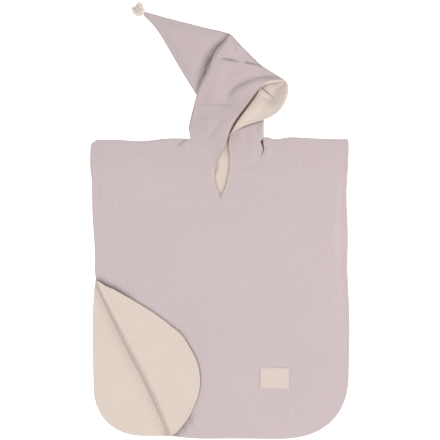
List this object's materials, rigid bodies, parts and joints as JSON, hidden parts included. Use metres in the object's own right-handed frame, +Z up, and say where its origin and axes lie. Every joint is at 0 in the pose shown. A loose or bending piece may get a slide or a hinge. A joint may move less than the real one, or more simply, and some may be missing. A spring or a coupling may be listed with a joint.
{
  "type": "hooded bath poncho",
  "caption": "Child's hooded bath poncho laid flat, with a pointed hood, a neck slit and one front corner folded over.",
  "frame": {"origin": "centre of the laid-out garment's outline, on the surface it lies on", "axes": "+Z up from the surface, +Y towards the hood's tip, +X to the right seen from above"},
  "size_m": [0.6023, 1.0169, 0.0245],
  "materials": {
    "muslin": "matt crinkled cotton muslin, mauve",
    "terry": "matt cotton terry, cream",
    "label": "woven cotton label, bare",
    "yarn": "soft cotton yarn, cream"
  },
  "bodies": {
    "root": {"front_shell": "muslin", "back_shell": "muslin", "hood_left_shell": "muslin", "hood_neck_shell": "muslin", "hood_right_shell": "muslin", "front_lining": "terry", "back_lining": "terry", "hood_left_lining": "terry", "hood_neck_lining": "terry", "hood_right_lining": "terry", "label": "label", "tuft": "yarn"}
  },
  "joints": []
}
